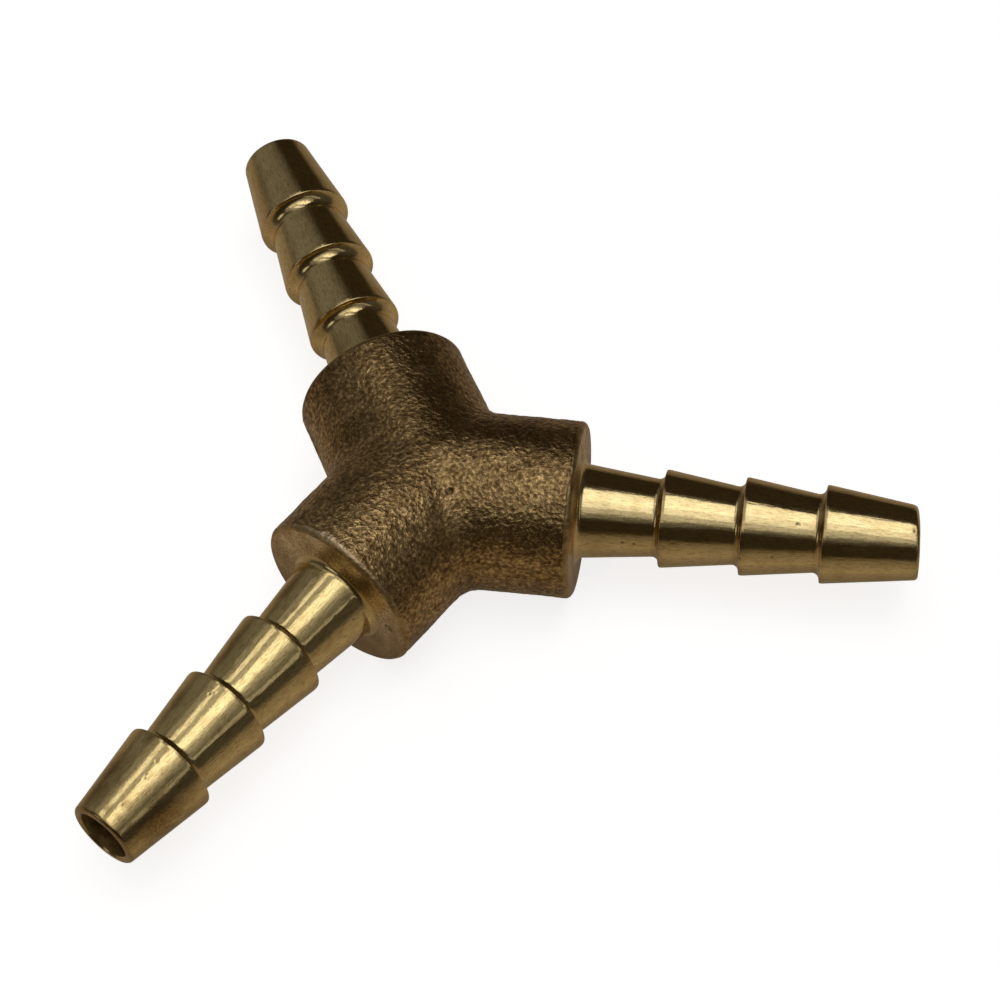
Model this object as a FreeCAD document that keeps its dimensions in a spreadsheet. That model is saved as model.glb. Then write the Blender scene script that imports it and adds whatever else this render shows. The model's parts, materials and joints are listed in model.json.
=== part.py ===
"""Three-way barbed hose connector: a cast brass hub with three turned hose tails at 120 degrees.

The hub is a casting: three equal round bosses that meet at the centre, with soft blends between them and
a low parting ridge round its middle. Each boss is faced, chamfered and bored, and its socket holds the
plain spigot of one tail. A tail is turned from bar and drilled through. It flares out at its root onto
the boss's face, tapers, and carries three barbs whose steps face the hub.

The origin is where the three bores meet, +Z is up with all three legs level, and leg A runs along +X.
Units are millimetres.
"""

import FreeCAD, Part  # FreeCAD has to be imported first
import math
import os

import Sketcher

SHEET = "Dimensions"
LEG_ANGLES = {"a": 0, "b": 120, "c": 240}  # about +Z, in degrees
BARBS = 3
SEAM_TURN = 10  # each tail's turn about its own axis, in degrees. A tail is round, so only its seam moves
MATCH = 1e-3  # how near an edge has to be to where it is looked for

DRIVING = {
    # hub
    "leg_count": 3,
    "boss_diameter": 12.7,
    "boss_length": 10.65,
    "boss_chamfer": 0.3,
    "crotch_fillet": 1.6,
    "ridge_width": 0.35,
    "ridge_height": 0.08,
    "ridge_start": 4.0,
    "ridge_stop": 0.6,
    # the joint between a tail and its boss
    "spigot_diameter": 5.8,
    "spigot_length": 5.0,
    "spigot_lead": 0.3,
    "mouth_chamfer": 0.25,
    # water way
    "bore_diameter": 4.0,
    "drill_point": 118,
    # tail
    "foot_diameter": 9.0,
    "foot_thickness": 0.1,
    "root_diameter": 6.8,
    "root_fillet": 1.0,
    "first_crest": 6.0,
    "barb_pitch": 5.7,
    "crest_diameter": 7.0,
    "crest_land": 0.25,
    "crest_round": 0.1,
    "valley_diameter": 5.5,
    "step_run": 0.15,
    "step_fillet": 0.45,
    "nose_length": 6.85,
    "tip_diameter": 5.2,
    "tip_round": 0.3,
    "tip_countersink": 0.12,
}


def make_sheet(doc):
    """The spreadsheet of driving dimensions, one alias to a row."""
    sheet = doc.addObject("Spreadsheet::Sheet", SHEET)
    for row, (alias, size) in enumerate(DRIVING.items(), start=1):
        sheet.set(f"A{row}", alias)
        sheet.set(f"B{row}", str(size))
        sheet.setAlias(f"B{row}", alias)
    doc.recompute()
    return sheet


def dim(alias):
    """The expression that names a driving dimension."""
    return f"{SHEET}.{alias}"


def radius(alias):
    """The expression for half of a diameter."""
    return f"{SHEET}.{alias} / 2"


def value(doc, expression):
    """The number that an expression gives now."""
    found = doc.getObject(SHEET).evalExpression(expression)
    return float(getattr(found, "Value", found))


def origin_feature(body, role):
    """A plane or axis of the body's own origin."""
    return next(feature for feature in body.Origin.OriginFeatures if feature.Role == role)


def add_sketch(body, name, plane, raised_by=None):
    """A sketch on one of the body's origin planes, or raised off it by an expression."""
    sketch = body.newObject("Sketcher::SketchObject", name)
    sketch.AttachmentSupport = [(origin_feature(body, plane), "")]
    sketch.MapMode = "FlatFace"
    if raised_by:
        sketch.setExpression("AttachmentOffset.Base.z", raised_by)
    return sketch


def bind(sketch, constraint, expression):
    """Adds a dimension to a sketch, bound to an expression."""
    index = sketch.addConstraint(constraint)
    sketch.setExpression(f"Constraints[{index}]", expression)


def add_circle(sketch, size):
    """A circle round the sketch's origin, whose radius is an expression."""
    now = value(sketch.Document, size)
    circle = sketch.addGeometry(Part.Circle(FreeCAD.Vector(), FreeCAD.Vector(0, 0, 1), now))
    sketch.addConstraint(Sketcher.Constraint("Coincident", circle, 3, -1, 1))
    bind(sketch, Sketcher.Constraint("Radius", circle, now), size)


def add_outline(sketch, corners):
    """A closed outline of straight lines through corners, each a pair of expressions (along, across)."""
    places = [[value(sketch.Document, expression) for expression in corner] for corner in corners]
    points = [FreeCAD.Vector(along, across, 0) for along, across in places]
    lines = [
        sketch.addGeometry(Part.LineSegment(start, end))
        for start, end in zip(points, points[1:] + points[:1])
    ]
    for line, following in zip(lines, lines[1:] + lines[:1]):
        sketch.addConstraint(Sketcher.Constraint("Coincident", line, 2, following, 1))
    for line, place, corner in zip(lines, places, corners):
        for kind, now, expression in zip(("DistanceX", "DistanceY"), place, corner):
            bind(sketch, Sketcher.Constraint(kind, -1, 1, line, 1, now), expression)


def finish_step(body, feature):
    """Makes a feature the body's last one and works it out, so that the next can build on it."""
    body.Tip = feature
    body.Document.recompute()
    return feature


def add_pattern(body, name, originals):
    """Repeats features for all the legs, round the body's Z axis."""
    pattern = body.newObject("PartDesign::PolarPattern", name)
    pattern.Originals = originals
    pattern.Axis = (origin_feature(body, "Z_Axis"), [""])
    pattern.Angle = 360
    pattern.setExpression("Occurrences", dim("leg_count"))
    return finish_step(body, pattern)


def add_dressup(body, kind, name, base, edges, size_property, expression):
    """A fillet or a chamfer on named edges of the feature before it."""
    dressup = body.newObject(f"PartDesign::{kind}", name)
    dressup.Base = (base, edges)
    dressup.setExpression(size_property, expression)
    return finish_step(body, dressup)


def curved_edges(feature, kind):
    """The name and the curve of each of a feature's edges of one kind."""
    numbered = enumerate(feature.Shape.Edges, start=1)
    curves = [(f"Edge{number}", edge.Curve) for number, edge in numbered if not edge.Degenerated]
    return [(name, curve) for name, curve in curves if curve.TypeId == kind]


def round_edges(feature, size, along, angles=(0,)):
    """Names of a feature's circular edges of that radius, centred that far along the legs at angles."""
    doc = feature.Document
    size_now, along_now = value(doc, size), value(doc, along)
    axes = [FreeCAD.Vector(math.cos(math.radians(a)), math.sin(math.radians(a)), 0) for a in angles]
    names = []
    for name, curve in curved_edges(feature, "Part::GeomCircle"):
        fits = abs(curve.Radius - size_now) < MATCH
        if fits and any(curve.Center.isEqual(axis * along_now, MATCH) for axis in axes):
            names.append(name)
    return names


def crotch_edges(feature):
    """Names of the edges where two bosses meet, each an arc of an ellipse in the plane between them."""
    return [name for name, _ in curved_edges(feature, "Part::GeomEllipse")]


def add_bosses(body):
    """The round bosses with chamfered rims, blended into each other at the crotches."""
    side, end, chamfer = radius("boss_diameter"), dim("boss_length"), dim("boss_chamfer")
    profile = add_sketch(body, "boss_profile", "XZ_Plane")
    rim = [(f"{end} - {chamfer}", side), (end, f"{side} - {chamfer}")]
    add_outline(profile, [("0 mm", "0 mm"), ("0 mm", side), *rim, (end, "0 mm")])
    boss = body.newObject("PartDesign::Revolution", "boss")
    boss.Profile = profile
    boss.ReferenceAxis = (profile, ["H_Axis"])
    boss.Angle = 360
    bosses = add_pattern(body, "bosses", [boss])
    crotches = crotch_edges(bosses)
    return add_dressup(body, "Fillet", "crotches", bosses, crotches, "Radius", dim("crotch_fillet"))


def add_parting_ridge(body):
    """The ridge left where the halves of the mould met. It runs out in the blend at each crotch."""
    side = f"({radius('boss_diameter')} + {dim('ridge_height')})"
    end = f"({dim('boss_length')} - {dim('ridge_stop')})"
    start = dim("ridge_start")
    plan = add_sketch(body, "ridge_plan", "XY_Plane")
    add_outline(plan, [(start, f"-{side}"), (end, f"-{side}"), (end, side), (start, side)])
    ridge = body.newObject("PartDesign::Pad", "ridge")
    ridge.Profile = plan
    ridge.Midplane = True
    ridge.setExpression("Length", dim("ridge_width"))
    finish_step(body, ridge)
    return add_pattern(body, "parting_ridge", [ridge])


def add_water_ways(body):
    """A water way drilled to the centre of the hub and a socket in every boss, its mouth chamfered."""
    face = add_sketch(body, "drilling_centre", "YZ_Plane", raised_by=dim("boss_length"))
    add_circle(face, radius("bore_diameter"))
    body.Document.recompute()
    hole = body.newObject("PartDesign::Hole", "water_way")
    hole.Profile = face
    body.Document.recompute()
    hole.ThreadType = "None"
    hole.DepthType = "Dimension"
    hole.DrillPoint = "Angled"
    hole.HoleCutType = "Counterbore"
    hole.setExpression("Diameter", dim("bore_diameter"))
    hole.setExpression("Depth", dim("boss_length"))
    hole.setExpression("DrillPointAngle", dim("drill_point"))
    hole.setExpression("HoleCutDiameter", dim("spigot_diameter"))
    hole.setExpression("HoleCutDepth", dim("spigot_length"))
    finish_step(body, hole)
    holes = add_pattern(body, "water_ways", [hole])
    mouths = round_edges(holes, radius("spigot_diameter"), dim("boss_length"), LEG_ANGLES.values())
    return add_dressup(body, "Chamfer", "socket_mouths", holes, mouths, "Size", dim("mouth_chamfer"))


def make_hub(doc):
    """The cast hub."""
    body = doc.addObject("PartDesign::Body", "hub_casting")
    body.Label = "hub_casting"
    add_bosses(body)
    add_parting_ridge(body)
    add_water_ways(body)
    return body


def crest_place(number):
    """How far barb number's step is from the hub's centre, as an expression."""
    return f"{dim('boss_length')} + {dim('first_crest')} + {number} * {dim('barb_pitch')}"


def tail_profile():
    """Half of a tail's section, from the spigot's inner end out to the tip, as (along, across) pairs."""
    face = dim("boss_length")
    inner_end = f"{face} - {dim('spigot_length')}"
    seat = f"{face} + {dim('foot_thickness')}"
    tip = f"{crest_place(BARBS - 1)} + {dim('nose_length')}"
    profile = [
        (inner_end, radius("bore_diameter")),
        (inner_end, f"{radius('spigot_diameter')} - {dim('spigot_lead')}"),
        (f"{inner_end} + {dim('spigot_lead')}", radius("spigot_diameter")),
        (face, radius("spigot_diameter")),
        (face, radius("foot_diameter")),
        (seat, radius("foot_diameter")),
        (seat, radius("root_diameter")),
    ]
    for number in range(BARBS):
        crest = crest_place(number)
        profile += [
            (f"{crest} - {dim('step_run')}", radius("valley_diameter")),
            (crest, radius("crest_diameter")),
            (f"{crest} + {dim('crest_land')}", radius("crest_diameter")),
        ]
    profile += [
        (tip, radius("tip_diameter")),
        (tip, f"{radius('bore_diameter')} + {dim('tip_countersink')}"),
        (f"{tip} - {dim('tip_countersink')}", radius("bore_diameter")),
    ]
    return profile


def add_roundings(body, turned):
    """The radii that the turning tool leaves: at the root, in and on each barb's step, and at the tip."""
    steps, crests = [], []
    for number in range(BARBS):
        valley = f"{crest_place(number)} - {dim('step_run')}"
        steps += round_edges(turned, radius("valley_diameter"), valley)
    filleted = add_dressup(body, "Fillet", "steps", turned, steps, "Radius", dim("step_fillet"))
    for number in range(BARBS):
        crests += round_edges(filleted, radius("crest_diameter"), crest_place(number))
    filleted = add_dressup(body, "Fillet", "crests", filleted, crests, "Radius", dim("crest_round"))
    seat = f"{dim('boss_length')} + {dim('foot_thickness')}"
    root = round_edges(filleted, radius("root_diameter"), seat)
    filleted = add_dressup(body, "Fillet", "root", filleted, root, "Radius", dim("root_fillet"))
    tip = f"{crest_place(BARBS - 1)} + {dim('nose_length')}"
    rim = round_edges(filleted, radius("tip_diameter"), tip)
    return add_dressup(body, "Fillet", "tip", filleted, rim, "Radius", dim("tip_round"))


def make_tail(doc, leg, angle):
    """One turned hose tail, with its spigot in the boss of its leg."""
    body = doc.addObject("PartDesign::Body", f"hose_tail_{leg}")
    body.Label = f"hose_tail_{leg}"
    profile = add_sketch(body, f"profile_{leg}", "XZ_Plane")
    add_outline(profile, tail_profile())
    turned = body.newObject("PartDesign::Revolution", f"turned_{leg}")
    turned.Profile = profile
    turned.ReferenceAxis = (profile, ["H_Axis"])
    turned.Angle = 360
    finish_step(body, turned)
    add_roundings(body, turned)
    about_leg = FreeCAD.Rotation(FreeCAD.Vector(1, 0, 0), SEAM_TURN)
    to_leg = FreeCAD.Rotation(FreeCAD.Vector(0, 0, 1), angle)
    body.Placement = FreeCAD.Placement(FreeCAD.Vector(), to_leg * about_leg)
    return body


def check(doc, bodies):
    """Stops the script if any object failed or any sub-part is not one sound solid."""
    for thing in doc.Objects:
        if "Invalid" in thing.State or "Error" in thing.State:
            raise RuntimeError(f"{thing.Name} failed: {thing.State}")
    for body in bodies:
        shape = body.Shape
        if shape.isNull() or not shape.isValid() or len(shape.Solids) != 1:
            raise RuntimeError(f"{body.Label} is not one sound solid")
        print(f"{body.Label}: {shape.Volume:.2f} mm3, {len(shape.Faces)} faces")


def main():
    doc = FreeCAD.newDocument("barbed_wye")
    make_sheet(doc)
    bodies = [make_hub(doc)]
    bodies += [make_tail(doc, leg, angle) for leg, angle in LEG_ANGLES.items()]
    doc.recompute()
    check(doc, bodies)
    os.makedirs("parts", exist_ok=True)
    for body in bodies:
        body.Shape.exportStep(f"parts/{body.Label}.step")


main()
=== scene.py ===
"""Looks of the barbed wye connector: a cast brass hub and three turned brass hose tails on a pale floor.

All lengths are in metres, in the CAD model's frame: the origin is where the three bores meet, the legs lie in
the XY plane at 120 degrees, and leg A runs along +X.
"""

import json
import math

import bmesh
import bpy
import numpy as np
from mathutils import Matrix, Vector, noise

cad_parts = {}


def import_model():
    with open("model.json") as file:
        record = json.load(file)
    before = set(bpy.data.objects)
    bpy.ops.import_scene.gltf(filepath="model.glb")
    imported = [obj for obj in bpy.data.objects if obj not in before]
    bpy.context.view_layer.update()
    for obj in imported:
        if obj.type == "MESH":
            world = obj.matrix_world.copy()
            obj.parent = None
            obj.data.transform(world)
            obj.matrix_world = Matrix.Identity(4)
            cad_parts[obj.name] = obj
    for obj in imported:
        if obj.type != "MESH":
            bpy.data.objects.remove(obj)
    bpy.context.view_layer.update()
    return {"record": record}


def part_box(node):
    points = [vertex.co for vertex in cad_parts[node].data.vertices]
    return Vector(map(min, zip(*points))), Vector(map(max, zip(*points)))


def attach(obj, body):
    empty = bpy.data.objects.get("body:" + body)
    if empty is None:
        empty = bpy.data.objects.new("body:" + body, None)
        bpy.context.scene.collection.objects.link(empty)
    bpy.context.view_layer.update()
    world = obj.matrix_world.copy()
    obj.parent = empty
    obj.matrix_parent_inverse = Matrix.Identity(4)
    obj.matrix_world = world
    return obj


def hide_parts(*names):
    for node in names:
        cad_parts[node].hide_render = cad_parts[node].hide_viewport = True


MM = 0.001
FULL_TURN = 2 * math.pi
TINY = 1e-9
LEGS = {"a": 0.0, "b": 120.0, "c": 240.0}  # turn of each leg about +Z, in degrees
HALF_GAP = math.radians(60)  # from a leg's axis to the plane midway to its neighbour

# Camera, with its angles in degrees
CAMERA_AZIMUTH = 12.573
CAMERA_ELEVATION = 54.534
CAMERA_ROLL = -4.736
CAMERA_DISTANCE = 216.13 * MM
CAMERA_OFFSET = (4.827 * MM, -0.284 * MM)  # of the view's centre from the origin, right and up
CAMERA_LENS = 108.26
CAMERA_SENSOR = 36.0
CAMERA_NEAR = 0.01
CAMERA_FAR = 20.0

# Meshes
MERGE = 0.0002 * MM
SHARP_CORNER = math.radians(32)
MAIN, FACED, BORED = 0, 1, 2  # each face's material on the hub and on the tails

# Hub
BOSS_CHAMFER = 0.3 * MM
RIM_MIDDLE = 0.38  # of the chamfer, how far its middle lies in from face and side. 0.5 is a flat bevel
CROTCH_RADIUS = 1.6 * MM  # in the plane of the legs
SADDLE_RADIUS = 5.0 * MM  # near the top and the bottom, where the blend is softer
SOCKET_MOUTH = 0.25 * MM
SPIGOT_RADIUS = 2.9 * MM
BOSS_SEGMENTS = 380
BOSS_ROWS = 70
RIM_ROWS = 2
FACE_RINGS = 9

# Cast relief, in smooth noise whose finer waves are each half as long and half as high
NOISE_FALL = 1.0
NOISE_STEP = 2.0
NOISE_OCTAVES = 2
GRAIN_SIZE = 0.42 * MM
GRAIN_DEPTH = 0.030 * MM
SWELL_SIZE = 2.6 * MM
SWELL_DEPTH = 0.05 * MM

# Parting ridge, and the crease above it with calmer skin below
RIDGE_HALF_WIDTH = 0.17 * MM
RIDGE_HEIGHT = 0.07 * MM
RIDGE_START = 4.6 * MM
RIDGE_RUN_OUT = 0.8 * MM
SEAMS = [  # (leg, along from, to, degrees round it from, to, strength)
    ("a", 3.2 * MM, 10.8 * MM, 165.0, 172.5, 0.55),
    ("b", 3.4 * MM, 10.0 * MM, 352.0, 356.0, 0.6),
    ("c", 3.8 * MM, 10.2 * MM, 4.0, 8.0, 0.5),
]
SEAM_RUN_OUT = 0.15  # of the seam's length
SEAM_DEPTH = 0.07 * MM
SEAM_HALF_WIDTH = 0.14 * MM
SEAM_STEP = 0.05 * MM
CALM_END = (1.2 * MM, 1.8 * MM)  # below the crease, where the calmer skin fades out
CALM_STRENGTH = 0.65

# The ragged strip that the facing cut scraped on one boss's rim
SCRAPED_LEG = "c"
SCRAPE_WIDTH = 0.34 * MM
SCRAPE_SIDE = math.radians(93)
SCRAPE_SPREAD = 42  # power of the cosine that fades it out round the rim
SCRAPE_EDGE = 0.05 * MM
SCRAPE_RAGGED = 0.16 * MM
SCRAPE_RAGGED_SIZE = 0.5 * MM

HUB_PITS = [  # (leg, along, degrees round it, from its axis, size, depth)
    ("a", 1.98 * MM, 122.2, 6.38 * MM, 0.12 * MM, 0.18 * MM),
    ("a", 2.12 * MM, 120.9, 6.38 * MM, 0.14 * MM, 0.22 * MM),
    ("a", 2.26 * MM, 119.7, 6.38 * MM, 0.11 * MM, 0.16 * MM),
    ("c", 10.65 * MM, 0.1, 4.85 * MM, 0.24 * MM, 0.20 * MM),
    ("c", 10.65 * MM, 12.0, 4.30 * MM, 0.14 * MM, 0.08 * MM),
    ("b", 6.4 * MM, 300.0, 6.35 * MM, 0.20 * MM, 0.16 * MM),
    ("b", 8.3 * MM, 215.0, 6.35 * MM, 0.16 * MM, 0.12 * MM),
    ("a", 7.2 * MM, 330.0, 6.35 * MM, 0.22 * MM, 0.18 * MM),
    ("c", 5.1 * MM, 250.0, 6.35 * MM, 0.18 * MM, 0.15 * MM),
]

# Tail section
FOOT_THICKNESS = 0.1 * MM
ROOT_RADIUS = 3.4 * MM
ROOT_FILLET = 0.5 * MM
SPIGOT_LEAD = 0.3 * MM
FIRST_CREST = 6.0 * MM
BARB_PITCH = 5.7 * MM
BARBS = 3
CREST_LAND = 0.25 * MM
CREST_ROUND = 0.1 * MM
VALLEY_RADIUS = 2.75 * MM
STEP_RUN = 0.15 * MM
STEP_FILLETS = {"a": 0.45 * MM, "b": 0.80 * MM, "c": 0.45 * MM}
TIP_RADIUS = 2.6 * MM
TIP_ROUND = 0.3 * MM
TIP_COUNTERSINK = 0.12 * MM
TAIL_SEGMENTS = 240
TAIL_ROW = 0.11 * MM
HIDDEN_ROW = 2.0 * MM
ARC_STEPS = 5

# Where a tail's flare turns from bright to dull to faced, beyond the root's radius
DULL_FROM = 0.02 * MM
FACED_FROM = 0.50 * MM

# Tail wear: a worn tip, a slight wobble of the surface, and dents
TIP_WEAR = {"a": 0.40 * MM}
TIP_WEAR_SIDE = math.radians(45)
TIP_WEAR_SPREAD = 3  # power of the cosine that fades it out round the tip
TIP_WEAR_REACH = 0.9 * MM
WOBBLE_DEPTH = 0.006 * MM
WOBBLE_SIZE = 1.1 * MM
WOBBLE_STRETCH = np.array([0.25, 1.0, 1.0])
DENT_SEED = 40
STRAY_DENTS = 22
DENT_SIZES = (0.04 * MM, 0.08 * MM)
DENT_STEEPNESS = 0.25
FULL_SHADE_DEPTH = 0.05 * MM  # of a dent whose painted shade is full
BORE_MARGIN = 0.18 * MM  # round the bore, where nothing is dented
TAIL_DENTS = {  # (along, degrees round it, size, depth)
    "a": [
        (14.10 * MM, 164.5, 0.10 * MM, 0.07 * MM),
        (14.08 * MM, 174.0, 0.07 * MM, 0.03 * MM),
        (14.90 * MM, 167.0, 0.09 * MM, 0.06 * MM),
        (15.50 * MM, 172.0, 0.06 * MM, 0.02 * MM),
        (12.80 * MM, 157.0, 0.07 * MM, 0.03 * MM),
        (11.65 * MM, 168.0, 0.08 * MM, 0.03 * MM),
        (13.50 * MM, 186.0, 0.07 * MM, 0.04 * MM),
        (12.60 * MM, 192.0, 0.08 * MM, 0.04 * MM),
        (17.05 * MM, 159.0, 0.07 * MM, 0.03 * MM),
        (19.20 * MM, 167.0, 0.06 * MM, 0.03 * MM),
        (24.70 * MM, 162.0, 0.07 * MM, 0.05 * MM),
        (22.45 * MM, 165.0, 0.09 * MM, 0.04 * MM),
        (22.50 * MM, 138.0, 0.07 * MM, 0.03 * MM),
        (26.30 * MM, 115.0, 0.09 * MM, 0.07 * MM),
        (34.50 * MM, 107.0, 0.12 * MM, 0.025 * MM),
    ],
    "c": [
        (13.20 * MM, 12.0, 0.08 * MM, 0.03 * MM),
        (12.10 * MM, 26.0, 0.07 * MM, 0.04 * MM),
        (17.00 * MM, 44.0, 0.06 * MM, 0.02 * MM),
        (23.20 * MM, 86.0, 0.08 * MM, 0.03 * MM),
        (23.50 * MM, 90.0, 0.07 * MM, 0.03 * MM),
        (29.50 * MM, 79.0, 0.09 * MM, 0.03 * MM),
        (30.90 * MM, 76.0, 0.08 * MM, 0.03 * MM),
        (33.20 * MM, 74.0, 0.09 * MM, 0.03 * MM),
    ],
}

# Tail stains: mostly tarnish, but some are painted shade
# valley stains: partly tarnish, partly painted shade in the barbs' valleys; none on leg b, whose valleys
# catch highlights
VALLEY_STAINS_AND_SHADE = {"a": 0.6, "b": 0.0, "c": 0.3}
VALLEY_REACH = 0.35 * MM
TAIL_STAINS_AND_SHADE = {  # (along, degrees round it, reach along, reach round it, strength)
    "a": [
        (34.7 * MM, 108.0, 0.35 * MM, 0.25 * MM, 0.9),
        (34.9 * MM, 150.0, 0.25 * MM, 3.0 * MM, 0.6),
        (12.2 * MM, 135.0, 1.0 * MM, 0.4 * MM, 0.35),
        (12.3 * MM, 172.0, 1.0 * MM, 0.9 * MM, 0.30),
    ],
    "b": [
        (13.5 * MM, 60.0, 1.6 * MM, 1.2 * MM, 0.4),
        (16.5 * MM, 20.0, 0.8 * MM, 1.2 * MM, 0.35),
        (31.0 * MM, 40.0, 2.5 * MM, 1.6 * MM, 0.25),
    ],
    "c": [
        (11.60 * MM, 50.0, 0.30 * MM, 0.30 * MM, 0.6),
        (11.70 * MM, 97.0, 0.40 * MM, 0.40 * MM, 0.5),
        (29.6 * MM, 67.0, 0.35 * MM, 0.25 * MM, 0.6),
        (30.4 * MM, 72.0, 0.45 * MM, 0.20 * MM, 0.6),
        (31.5 * MM, 62.0, 0.60 * MM, 0.20 * MM, 0.5),
        (32.9 * MM, 70.0, 0.50 * MM, 0.30 * MM, 0.6),
        (33.9 * MM, 64.0, 0.30 * MM, 0.40 * MM, 0.6),
        (34.0 * MM, 84.0, 0.35 * MM, 0.30 * MM, 0.6),
        (28.5 * MM, 104.0, 0.50 * MM, 0.50 * MM, 0.7),
        (32.0 * MM, 96.0, 1.50 * MM, 0.30 * MM, 0.4),
        # these two on the nose are painted shade over its dark reflection bands
        (32.0 * MM, 20.0, 3.40 * MM, 2.20 * MM, 0.80),
        (32.5 * MM, 123.0, 2.80 * MM, 1.10 * MM, 0.80),
        # these three, one on each cone at 126 degrees, are painted shade over a dark reflection band
        (13.4 * MM, 126.0, 2.20 * MM, 0.80 * MM, 0.70),
        (19.4 * MM, 126.0, 2.20 * MM, 0.80 * MM, 0.70),
        (25.1 * MM, 126.0, 2.20 * MM, 0.80 * MM, 0.60),
        (31.0 * MM, 355.0, 1.80 * MM, 1.20 * MM, 0.55),
        (34.9 * MM, 90.0, 0.30 * MM, 9.00 * MM, 0.75),
    ],
}

# Noise layers of the finishes, as (size, detail, how much longer it is on each axis)
EVEN = (1.0, 1.0, 1.0)
CAST_PATINA = (4.5 * MM, 3.0, EVEN)
CAST_MOTTLE = (0.9 * MM, 2.0, EVEN)
CAST_CRINKLE = (0.27 * MM, 2.5, EVEN)
CAST_SAND = (0.11 * MM, 2.0, EVEN)
FACED_STAIN = (1.3 * MM, 5.0, EVEN)
FACED_SPECK = (0.16 * MM, 2.5, EVEN)
BORED_STAIN = (0.8 * MM, 3.0, EVEN)
BORED_CRUST = (0.2 * MM, 2.0, EVEN)
TURNED_LINE = (0.15 * MM, 1.0, (30.0, 1.0, 1.0))
TURNED_HAIR = (0.09 * MM, 2.0, (12.0, 1.0, 1.0))
TURNED_STREAK = (0.55 * MM, 1.0, (14.0, 1.0, 1.0))
TURNED_TICK = (0.24 * MM, 1.0, (1.0, 1.6, 1.6))
TURNED_BLOT = (1.5 * MM, 5.0, EVEN)
TURNED_SPECK = (0.16 * MM, 3.0, EVEN)
MOTTLE_SHIFT = 3.0
TAIL_SHIFT = 7.0  # from one tail to the next, so that no two share a pattern

# Heights of the finest relief, which is bump only
CRINKLE_HEIGHT = 0.078 * MM
SAND_HEIGHT = 0.02 * MM
FACED_HEIGHT = 0.022 * MM
CRUST_HEIGHT = 0.03 * MM
STREAK_HEIGHT = 0.012 * MM
LINE_HEIGHT = 0.0036 * MM
TICK_HEIGHT = 0.0028 * MM
SPECK_HEIGHT = 0.0018 * MM
TARNISH_HEIGHT = 0.006 * MM

# Colours through the noise, as (place, colour)
PATINA_STOPS = [(0.36, (0.41, 0.268, 0.119)), (0.64, (0.585, 0.40, 0.181))]
MOTTLE_STOPS = [(0.34, (0.84, 0.79, 0.73)), (0.50, (1.0, 0.99, 0.97)), (0.64, (1.16, 1.16, 1.16))]
# painted glints on the crinkles' peaks, and darker hollows that are partly patina and partly painted shade
CRINKLE_GLINT_AND_SHADE_STOPS = [(0.35, (0.44, 0.40, 0.35)), (0.54, (0.95, 0.95, 0.95)), (0.66, (1.55, 1.55, 1.5))]
FACED_STOPS = [(0.34, (0.63, 0.45, 0.22)), (0.5, (0.78, 0.59, 0.32)), (0.66, (0.97, 0.77, 0.47))]
SPECK_STOPS = [(0.35, (0.60, 0.57, 0.52)), (0.62, (1.22, 1.22, 1.22))]
BORED_STOPS = [(0.35, (0.22, 0.12, 0.045)), (0.65, (0.48, 0.34, 0.13))]

# Plain colours
CALM_COLOUR = (0.42, 0.285, 0.12)
SCRAPED_COLOUR = (1.0, 0.76, 0.48)
SKIMMED_COLOUR = (0.60, 0.44, 0.21)
# painted shade: the near black of the pits and dents
CAST_PIT_SHADE_COLOUR = (0.03, 0.018, 0.008)
FACED_PIT_SHADE_COLOUR = (0.04, 0.025, 0.01)
# painted shade: the colour the faced ends darken to towards the floor
FACED_PAINTED_SHADE_COLOUR = (0.30, 0.20, 0.085)
# tarnish, and the colour of the stains that are painted shade
TARNISH_AND_SHADE_COLOUR = (0.36, 0.225, 0.08)
DULLED_COLOUR = (0.66, 0.48, 0.25)
DENT_SHADE_COLOUR = (0.05, 0.03, 0.01)
TAIL_FINISH = {  # (bright colour, dull colour, share of tarnish)
    "a": ((1.0, 0.80, 0.41), (0.60, 0.41, 0.15), 0.25),
    "b": ((1.0, 0.79, 0.39), (0.56, 0.36, 0.12), 0.25),
    "c": ((1.0, 0.79, 0.37), (0.54, 0.35, 0.12), 0.25),
}

# How much of each plain colour shows
CALM_SHARE = 0.5
PIT_SHADE_SHARE = 0.9
DENT_SHADE_SHARE = 0.85
DULLED_SHARE = 0.9

# How noise or height gives a share or a roughness, as (range of the noise or height, range of the result)
SKIMMED_SHARE = ((0.40, 0.60), (0.35, 0.95))
# painted shade on the faced ends, by height: full low down, none high up
FACED_PAINTED_SHADE_SHARE = ((-4.0 * MM, 3.0 * MM), (0.85, 0.0))
STAIN_PATCHES = ((0.38, 0.52), (0.55, 1.3))
TARNISH_SPECKS = ((0.38, 0.56), (0.70, 1.0))
DARK_SPECKS = ((0.30, 0.46), (0.55, 0.0))
DARK_HAIRS = ((0.34, 0.52), (0.65, 0.0))
TARNISH_BLOTS = (0.50, 0.70)
CRINKLE_ROUGHNESS = ((0.34, 0.66), (0.38, 0.22))
FACED_ROUGHNESS = ((0.3, 0.7), (0.4, 0.3))
TURNED_ROUGHNESS = ((0.35, 0.7), (0.08, 0.11))
MACHINED_ROUGHNESS = 0.42
BORED_ROUGHNESS = 0.38
TARNISH_ROUGHNESS = 0.12
DULLED_ROUGHNESS = 0.22
BORED_METAL = 0.75  # the rest is oxide

# Stage
WHITE = (1.0, 1.0, 1.0)
FLOOR_COLOUR = (0.85, 0.85, 0.85)
FLOOR_ROUGHNESS = 0.9
FLOOR_GLOW = 0.80
FLOOR_RADIUS = 3.0
FLOOR_SEGMENTS = 96
BACKDROP_GLOW = 0.94
BACKDROP_RADIUS = 3.2
BACKDROP_DIVISIONS = 4

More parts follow.
